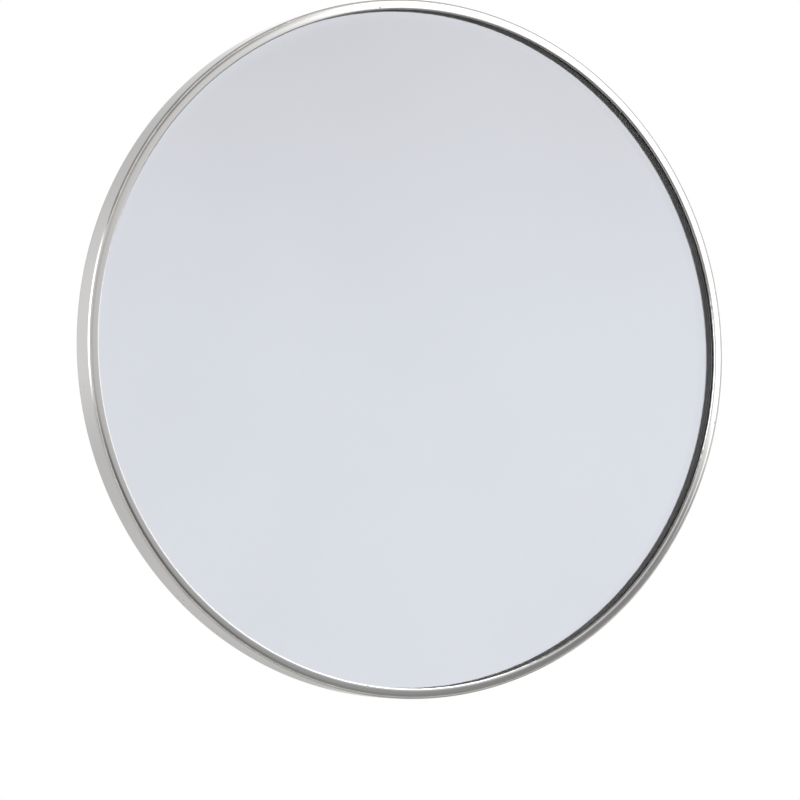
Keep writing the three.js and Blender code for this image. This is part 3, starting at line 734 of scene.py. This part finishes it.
def collar_gasket():
    span = Span("collar_gasket")
    inner = collar_bore() + HOLE_GAP
    round_ = 0.2 * MM
    points = rounded([(inner, span.front), (span.radius, span.front, round_),
                      (span.radius, span.back, round_), (inner, span.back)])
    piece = lathe("collar_gasket_shape", points)
    cut(piece, *screw_bores(span.centre.y))
    stand_in(piece, "collar_gasket")


def button_screw(name, radius, head_radius, head_height, length, flats):
    """A screw along +Y: the head's underside is at 0 and the shank reaches to -length."""
    crown = [(head_radius, 0.0), (head_radius, head_height * 0.3)]
    crown += [(head_radius * math.cos(a) ** 0.7, head_height * (0.3 + 0.7 * math.sin(a)))
              for a in [math.radians(90 * k / 10) for k in range(1, 9)]]
    points = [(0, -length), (radius - 0.3 * MM, -length), (radius, -length + 0.3 * MM)]
    turns = int((length - 1.2 * MM) / (0.5 * MM))
    for k in range(turns):
        base = -length + 0.5 * MM + k * 0.5 * MM
        points += [(radius, base), (radius - 0.16 * MM, base + 0.25 * MM)]
    points += [(radius, -0.3 * MM), (radius, 0), (head_radius * 0.98, 0)]
    points += crown + [(0, head_height)]
    piece = lathe(name, points, SMALL_STEPS)
    recess = prism("recess", hexagon(flats), head_height * 0.35, head_height * 2)
    return cut(piece, recess)


def joint_screws():
    head = Span("ball_collar").front + COLLAR_FLANGE + SEAT_GAP
    for i in range(JOINT_SCREWS):
        name = f"joint_screw_{i + 1}"
        span = Span(name)
        piece = button_screw(name, JOINT_SCREW_RADIUS, JOINT_SCREW_HEAD, span.back - head,
                             head - span.front, JOINT_SCREW_SOCKET)
        piece.data.transform(Matrix.Translation((span.centre.x, head, span.centre.z)))
        stand_in(piece, name)
        nut = Span(f"joint_nut_{i + 1}")
        stand_in(hex_nut(JOINT_NUT_FLATS, nut.front, nut.back, JOINT_SCREW_RADIUS, nut.centre),
                 f"joint_nut_{i + 1}")


def hex_nut(flats, low, high, thread, centre):
    """A hexagonal nut along Y with chamfered corners and a bored thread."""
    corner = flats / math.sqrt(3)
    chamfer = 0.12 * flats
    steep = 0.55
    wide = corner + 0.01 * MM
    past = 0.3 * MM
    tip = corner - chamfer - past / steep
    turned = lathe("chamfer", [
        (0, low - past), (tip, low - past), (wide, low + (wide - corner + chamfer) * steep),
        (wide, high - (wide - corner + chamfer) * steep), (tip, high + past), (0, high + past),
    ], SMALL_STEPS * 2, centre=(centre.x, 0, centre.z))
    body = prism("nut", hexagon(flats), low, high, centre=(centre.x, 0, centre.z))
    combine(body, [turned], "INTERSECT")
    hole = thread + HOLE_GAP
    flare = 0.35 * MM
    drill = lathe("drill", [
        (0, low - MM), (hole + flare + MM, low - MM), (hole, low + flare), (hole, high - flare),
        (hole + flare + MM, high + MM), (0, high + MM),
    ], SMALL_STEPS, centre=(centre.x, 0, centre.z))
    return cut(body, drill)


def head():
    rim()
    curved_disc("mirror_glass", 0, GLASS_THICKNESS, GLASS_BEVEL)
    curved_disc("silver_coating", COATING_FRONT, COATING_BACK, 0)
    backing_pad()
    edge_seal()
    back_shell()
    socket_can()
    pressure_spring()
    pressure_cup()
    ball_collar()
    collar_gasket()
    joint_screws()


# ---- Arm ---------------------------------------------------------------------------------------

def ball_stud():
    span = Span("ball_stud")
    radius = BALL.y - span.front
    neck_radius = BOLT_RADIUS
    neck = math.degrees(math.acos(neck_radius / radius))
    nut = Span("lock_nut")
    points = [(r, BALL.y + a) for r, a in arc((0, 0), radius, -90, neck - 3, 40)]
    points[0] = (0, points[0][1])
    start = points[-1][1]
    points += [(neck_radius + 0.06 * MM, start + 0.5 * MM), (neck_radius, start + 1.0 * MM)]
    pitch = THREAD_PITCH
    thread_from = nut.front - 2.4 * MM
    turns = int((span.back - thread_from - pitch) / pitch)
    points += [(neck_radius, thread_from - 0.2 * MM)]
    for k in range(turns):
        base = thread_from + k * pitch
        points += [(neck_radius, base), (neck_radius - 0.32 * MM, base + pitch / 2)]
    points += [(neck_radius - 0.1 * MM, span.back - 0.6 * MM), (neck_radius - 0.6 * MM, span.back),
               (0, span.back)]
    stand_in(lathe("ball_stud_shape", points), "ball_stud")


def lock_nut():
    span = Span("lock_nut")
    stand_in(hex_nut(BOLT_FLATS, span.front, span.back, BOLT_RADIUS, Vector((0, 0, 0))), "lock_nut")


def stem_rod():
    span = Span("stem_rod")
    bore_radius = BOLT_RADIUS + HOLE_GAP
    edge = 0.5 * MM
    end = span.front + STEM_HOLE_DEPTH
    points = rounded([
        (0, end), (bore_radius, end), (bore_radius, span.front, 0.25 * MM),
        (span.radius, span.front, edge), (span.radius, span.back, edge), (0, span.back),
    ])
    stand_in(lathe("stem_rod_shape", points), "stem_rod")


def knuckle():
    span = Span("swivel_knuckle")
    mouth = span.front
    socket_radius = span.high.x
    bore_radius = Span("stem_rod").radius + HOLE_GAP
    back = PIVOT.y - SOCKET_TO_PIVOT
    half = Span("friction_washer_upper").low.z - SEAT_GAP
    round_ = 1.0 * MM
    body = lathe("socket", rounded([
        (0, mouth), (socket_radius, mouth, round_), (socket_radius, back, round_), (0, back),
    ], 6))
    barrel = lathe("barrel", rounded([
        (0, -half), (BARREL_RADIUS, -half, 0.5 * MM), (BARREL_RADIUS, half, 0.5 * MM), (0, half),
    ]), axis="Z", centre=(0, PIVOT.y, 0))
    thick = half - 0.2 * MM
    web = prism("web", rounded([
        (-WEB_HALF, -thick, WEB_ROUND), (WEB_HALF, -thick, WEB_ROUND),
        (WEB_HALF, thick, WEB_ROUND), (-WEB_HALF, thick, WEB_ROUND),
    ], 5), back - round_, PIVOT.y)
    screw = Span("stem_set_screw").centre
    boss_low = span.low.z
    boss = lathe("boss", rounded([
        (0, boss_low), (BOSS_RADIUS, boss_low, 0.6 * MM), (BOSS_RADIUS, -bore_radius - 0.5 * MM),
        (0, -bore_radius - 0.5 * MM),
    ]), axis="Z", centre=(0, screw.y, 0))
    join(body, web, barrel, boss)
    mouth_flare = 0.6 * MM
    hole_end = mouth + SOCKET_HOLE_DEPTH
    stem_hole = lathe("hole", [
        (0, mouth - MM), (bore_radius + mouth_flare + MM, mouth - MM), (bore_radius, mouth + mouth_flare),
        (bore_radius, hole_end), (0, hole_end),
    ])
    pivot_hole = bore("Z", BOLT_RADIUS + HOLE_GAP, -half - MM, half + MM, (0, PIVOT.y, 0))
    screw_hole = bore("Z", SET_SCREW_RADIUS + HOLE_GAP, boss_low - MM, -bore_radius / 2, (0, screw.y, 0))
    cut(body, stem_hole, pivot_hole, screw_hole)
    stand_in(body, "swivel_knuckle")


def set_screw():
    span = Span("stem_set_screw")
    radius = span.high.x
    low, high = span.low.z, span.high.z
    points = [(0, low), (radius - 0.35 * MM, low), (radius, low + 0.35 * MM)]
    pitch = THREAD_PITCH
    for k in range(int((high - low - 1.4 * MM) / pitch)):
        base = low + 0.5 * MM + k * pitch
        points += [(radius, base), (radius - 0.3 * MM, base + pitch / 2)]
    points += [(radius, high - 0.7 * MM), (radius - 0.8 * MM, high), (0, high)]
    piece = lathe("set_screw", points, SMALL_STEPS, axis="Z", centre=(0, span.centre.y, 0))
    recess = prism("recess", hexagon(SET_SCREW_SOCKET), low - MM, low + 2 * MM, axis="Z",
                   centre=(0, span.centre.y, 0))
    stand_in(cut(piece, recess), "stem_set_screw")


def arm():
    ball_liner()
    ball_stud()
    lock_nut()
    stem_rod()
    knuckle()
    set_screw()


# ---- Foot --------------------------------------------------------------------------------------

def foot_hole_places():
    """(x, z) of the foot's screw holes, whose countersinks end where the plate's edge rounds off."""
    circle = Span("foot_bracket").high.x - (FOOT_ROUND + FOOT_SINK + FOOT_HOLE_RADIUS)
    turns = [math.radians(45 + 360 / FOOT_HOLES * i) for i in range(FOOT_HOLES)]
    return [(circle * math.cos(turn), circle * math.sin(turn)) for turn in turns]


def ear(name, low, high, plate_front):
    """One of the two ears: straight sides, a round end and a flared root."""
    radius, flare = EAR_RADIUS, EAR_FLARE
    start = plate_front - flare * 1.5
    side = []
    for k in range(13):
        t = k / 12
        x = (1 - t) ** 2 * (radius + flare) + 2 * t * (1 - t) * radius + t ** 2 * radius
        y = (1 - t) ** 2 * plate_front + 2 * t * (1 - t) * plate_front + t ** 2 * start
        side.append((x, y))
    tip = [(radius * math.cos(math.radians(-a)), PIVOT.y + radius * math.sin(math.radians(-a)))
           for a in range(0, 181, 6)]
    root = plate_front + EAR_OVERLAP
    outline = [(radius + flare, root)] + side + tip
    outline += [(-x, y) for x, y in reversed(side)] + [(-radius - flare, root)]
    return prism(name, outline, low, high, axis="Z", bevel=0.5 * MM)


def foot_bracket():
    span = Span("foot_bracket")
    radius = span.high.x
    back = span.back
    front = back - FOOT_PLATE
    plate = lathe("plate", rounded([
        (0, front), (radius, front, FOOT_ROUND), (radius, back, 0.2 * MM), (0, back),
    ], 8), RING_STEPS)
    inside = Span("friction_washer_upper").high.z + SEAT_GAP
    far = Span("bolt_washer_upper").low.z - SEAT_GAP
    join(plate, ear("upper", inside, far, front), ear("lower", -far, -inside, front))
    cutters = [bore("Z", BOLT_RADIUS + HOLE_GAP, -far - MM, far + MM, (0, PIVOT.y, 0))]
    hole, sink = FOOT_HOLE_RADIUS, FOOT_SINK
    for x, z in foot_hole_places():
        cutters.append(lathe("countersink", [
            (0, front - MM), (hole + sink + MM, front - MM), (hole, front + sink), (hole, back + MM),
            (0, back + MM),
        ], SMALL_STEPS, centre=(x, 0, z)))
    cut(plate, *cutters)
    stand_in(plate, "foot_bracket")


def foot_gasket():
    span = Span("foot_gasket")
    piece = lathe("gasket", rounded([
        (0, span.front), (span.high.x, span.front, 0.3 * MM), (span.high.x, span.back, 0.3 * MM),
        (0, span.back),
    ]), RING_STEPS)
    cut(piece, *[bore("Y", FOOT_HOLE_RADIUS, span.front - MM, span.back + MM, (x, 0, z))
                 for x, z in foot_hole_places()])
    stand_in(piece, "foot_gasket")


UPRIGHT = Matrix.Rotation(math.radians(90), 4, "X")


def pivot_bolt():
    span = Span("pivot_bolt")
    under = Span("bolt_washer_upper").high.z + SEAT_GAP
    piece = button_screw("bolt", BOLT_RADIUS, BOLT_HEAD, span.high.z - under, under - span.low.z,
                         BOLT_SOCKET)
    piece.data.transform(Matrix.Translation((0, PIVOT.y, under)) @ UPRIGHT)
    stand_in(piece, "pivot_bolt")


def pivot_nut():
    span = Span("pivot_nut")
    top = span.high.z
    seam = top - 4.4 * MM
    flats = BOLT_FLATS
    corner = flats / math.sqrt(3)
    hexa = prism("hexa", hexagon(flats), seam, top, axis="Z", centre=(0, PIVOT.y, 0))
    chamfer = 1.1 * MM
    trim = lathe("trim", [
        (0, seam), (corner - chamfer, seam), (corner + 0.02 * MM, seam + chamfer * 0.55),
        (corner + 0.02 * MM, top - chamfer * 0.4), (corner - chamfer * 0.8, top), (0, top),
    ], axis="Z", centre=(0, PIVOT.y, 0))
    combine(hexa, [trim], "INTERSECT")
    base = flats / 2 - 0.3 * MM
    height = seam - span.low.z
    dome = [(base * math.cos(math.radians(a)), seam - height * math.sin(math.radians(a)))
            for a in range(0, 90, 5)]
    cap = lathe("cap", [(0, seam + MM), (base, seam + MM)] + dome + [(0, span.low.z)],
                axis="Z", centre=(0, PIVOT.y, 0))
    join(hexa, cap)
    hole = bore("Z", BOLT_RADIUS + HOLE_GAP, seam - 0.7 * MM, top + MM, (0, PIVOT.y, 0))
    stand_in(cut(hexa, hole), "pivot_nut")


def washers():
    for node in ("friction_washer_upper", "friction_washer_lower", "bolt_washer_upper", "bolt_washer_lower"):
        span = Span(node)
        inner = BOLT_RADIUS + HOLE_GAP
        edge = 0.2 * MM
        piece = lathe(node, rounded([
            (inner, span.low.z, edge), (span.high.x, span.low.z, edge), (span.high.x, span.high.z, edge),
            (inner, span.high.z, edge),
        ]), axis="Z", centre=(0, PIVOT.y, 0))
        stand_in(piece, node)


def foot():
    foot_bracket()
    foot_gasket()
    pivot_bolt()
    pivot_nut()
    washers()


# ---- Stage, light and camera -----------------------------------------------------------------

CAMERA_AZIMUTH = -25.28
CAMERA_ELEVATION = -3.16
CAMERA_DISTANCE = 0.72
CAMERA_LENS = 189.2
AIM_LEFT = 0.0030             # the mirror stands right of and above the picture's centre
AIM_BELOW = 0.0089
FLOOR_Z = -0.30
FLOOR_RADIUS = 3.3


def camera():
    a, e = math.radians(CAMERA_AZIMUTH), math.radians(CAMERA_ELEVATION)
    back = Vector((math.sin(a) * math.cos(e), -math.cos(a) * math.cos(e), math.sin(e)))
    centre = Vector((0, FRONT, 0))
    place = centre + back * CAMERA_DISTANCE
    right = Vector((math.cos(a), math.sin(a), 0))
    up = back.cross(right)
    aim = centre - right * AIM_LEFT - up * AIM_BELOW
    data = bpy.data.cameras.new("camera")
    data.lens = CAMERA_LENS
    data.sensor_width = 36
    data.clip_start, data.clip_end = 0.01, 50
    obj = bpy.data.objects.new("camera", data)
    bpy.context.scene.collection.objects.link(obj)
    obj.location = place
    obj.rotation_mode = "QUATERNION"
    obj.rotation_quaternion = (aim - place).to_track_quat("-Z", "Y")
    bpy.context.scene.camera = obj


def floor():
    made, nodes, shader, place = material("studio_floor")
    cloud = nodes.noise(place, 3.0, 2.0)
    link(nodes, nodes.blend(cloud, (0.80, 0.80, 0.80), (0.84, 0.84, 0.84)), shader, "Base Color")
    shader.inputs["Roughness"].default_value = 0.8
    bm = bmesh.new()
    bmesh.ops.create_circle(bm, cap_ends=True, segments=96, radius=FLOOR_RADIUS)
    mesh = bpy.data.meshes.new("studio_floor")
    bm.to_mesh(mesh)
    bm.free()
    obj = new_object("studio_floor", mesh)
    obj.location.z = FLOOR_Z
    obj.data.materials.append(made)
    obj.visible_glossy = False         # the rim and the mirror show the studio, not the floor
    obj.visible_transmission = False


# Brightness of the studio in each direction. Azimuths are degrees from -Y towards +X.
# Level, low and high bands run round the object. LIP_BAND runs round the direction that the
# mirror shows to the camera, from its right over its top: what the lip catches just outside the
# mirrored field, whose own shade is MIRRORED_COLOUR. All of them were set one by one until the
# reflections seen from this one camera agreed with the photograph's.
STUDIO_TOP = 3.0
LEVEL_BAND = [
    (-180, 0.60), (-170, 0.61), (-161, 0.74), (-150, 0.74), (-136, 0.95), (-122, 2.2), (-52, 2.2),
    (-42, 0.95),
    (-35, 0.60), (-14, 0.52), (4, 0.6), (30, 0.8), (50, 1.9), (60, 1.7), (70, 0.80), (86, 0.50),
    (98, 0.38), (146, 0.38), (152, 1.00), (157, 1.00), (165, 0.76), (180, 0.60),
]
LOW_BAND = [
    (-180, 0.60), (-140, 0.56), (-110, 0.58), (-75, 0.50), (-44, 0.16), (-5, 0.15), (15, 0.27), (60, 0.30),
    (110, 0.30), (150, 0.50), (180, 0.60),
]
HIGH_BAND = [
    (-180, 0.50), (-166, 0.43), (-150, 0.26), (-120, 0.30), (-75, 0.32), (-50, 0.18), (-25, 0.22), (-5, 0.25),
    (5, 0.42), (12, 0.65), (19, 1.1), (28, 2.2), (60, 2.2), (72, 1.0), (86, 0.60), (100, 0.40), (146, 0.40),
    (180, 0.50),
]
LIP_BAND = [
    (0, 2.0), (60, 2.2), (92, 2.2), (106, 1.1), (122, 0.74), (150, 0.66), (180, 0.62), (205, 0.50),
    (230, 0.38), (255, 0.36), (275, 0.32), (300, 0.24), (334, 0.26), (344, 0.7), (353, 1.8), (360, 2.0),
]
LOW_TO_LEVEL = (-13, 1)       # degrees of elevation where one band turns into the next
LEVEL_TO_HIGH = (18, 32)
MIRRORED_EDGE = (12.0, 13.6)  # degrees from the mirrored direction where the field ends
LIP_FADE = (19, 25)           # and where the lip's band gives way to the bands round the object
MIRRORED_AZIMUTH = 25.3
MIRRORED_ELEVATION = 3.3
MIRRORED_COLOUR = (0.805, 0.800, 0.832)
MIRRORED_ABOVE = (0.814, 0.793, 0.812)


def studio():
    world = bpy.data.worlds.new("studio")
    bpy.context.scene.world = world
    world.use_nodes = True
    nodes = Nodes(world.node_tree)
    direction = nodes.add("ShaderNodeTexCoord").outputs["Generated"]
    x, y, z = nodes.add("ShaderNodeSeparateXYZ", {0: direction}).outputs
    azimuth = nodes.math("MULTIPLY", nodes.math("ARCTAN2", x, nodes.math("MULTIPLY", y, -1.0)), 180 / math.pi)
    elevation = nodes.math("MULTIPLY", nodes.math("ARCSINE", z), 180 / math.pi)

    def band(place, levels, start):
        """Brightness along a closed band, from 0 to 1 of STUDIO_TOP."""
        ramp = nodes.add("ShaderNodeValToRGB", {0: nodes.spread(place, start, start + 360, 0, 1, "LINEAR")})
        elements = ramp.color_ramp.elements
        while len(elements) < len(levels):
            elements.new(0.5)
        for element, (angle, level) in zip(elements, levels):
            element.position = (angle - start) / 360
        for element, (angle, level) in zip(elements, levels):
            element.color = (level / STUDIO_TOP,) * 3 + (1,)
        return ramp.outputs[0]

    around = nodes.blend(nodes.spread(elevation, *LOW_TO_LEVEL, 0, 1), band(azimuth, LOW_BAND, -180),
                         band(azimuth, LEVEL_BAND, -180))
    around = nodes.blend(nodes.spread(elevation, *LEVEL_TO_HIGH, 0, 1), around,
                         band(azimuth, HIGH_BAND, -180))

    a, e = math.radians(MIRRORED_AZIMUTH), math.radians(MIRRORED_ELEVATION)
    axis = Vector((math.sin(a) * math.cos(e), -math.cos(a) * math.cos(e), math.sin(e)))
    right = Vector((math.cos(a), math.sin(a), 0))
    up = axis.cross(right)

    def along(vector):
        dot = nodes.add("ShaderNodeVectorMath", {0: direction, 1: vector}, operation="DOT_PRODUCT")
        return dot.outputs["Value"]

    across, above = along(right), along(up)
    off_axis = nodes.math("MULTIPLY", nodes.math("ARCCOSINE", along(axis)), 180 / math.pi)
    turn = nodes.math("MULTIPLY", nodes.math("ARCTAN2", above, across), 180 / math.pi)
    turn = nodes.math("ADD", turn, nodes.math("MULTIPLY", nodes.math("LESS_THAN", turn, 0.0), 360.0))
    near = nodes.blend(nodes.spread(off_axis, *LIP_FADE, 0, 1), band(turn, LIP_BAND, 0), around)

    shade = nodes.math("MULTIPLY", nodes.spread(above, -0.02, 0.24, 1.0, 0.86, "SMOOTHSTEP"),
                       nodes.spread(across, -0.19, 0.19, 0.985, 1.03, "LINEAR"))
    cloud = nodes.noise(direction, 9.0, 1.0)
    shade = nodes.math("MULTIPLY", shade, nodes.spread(cloud, 0.3, 0.7, 0.985, 1.012, "LINEAR"))
    shade = nodes.math("MULTIPLY", shade, 1 / STUDIO_TOP)
    tint = nodes.blend(nodes.spread(above, 0.0, 0.2, 0, 1), MIRRORED_COLOUR, MIRRORED_ABOVE)
    field = nodes.add("ShaderNodeVectorMath", {0: tint}, operation="SCALE")
    nodes.tree.links.new(shade, field.inputs["Scale"])
    colour = nodes.blend(nodes.spread(off_axis, *MIRRORED_EDGE, 0, 1), field.outputs[0], near)

    background = world.node_tree.nodes["Background"]
    nodes.tree.links.new(colour, background.inputs["Color"])
    background.inputs["Strength"].default_value = STUDIO_TOP
    # Behind the object the camera sees plain white instead of the studio.
    plain = nodes.add("ShaderNodeBackground", {"Color": (1, 1, 1, 1), "Strength": 1.0})
    seen = nodes.add("ShaderNodeLightPath").outputs["Is Camera Ray"]
    mixed = nodes.add("ShaderNodeMixShader", {0: seen, 1: background.outputs[0], 2: plain.outputs[0]})
    nodes.tree.links.new(mixed.outputs[0], world.node_tree.nodes["World Output"].inputs["Surface"])


bpy.context.scene.view_settings.view_transform = "Standard"

head()
arm()
foot()
floor()
studio()
camera()
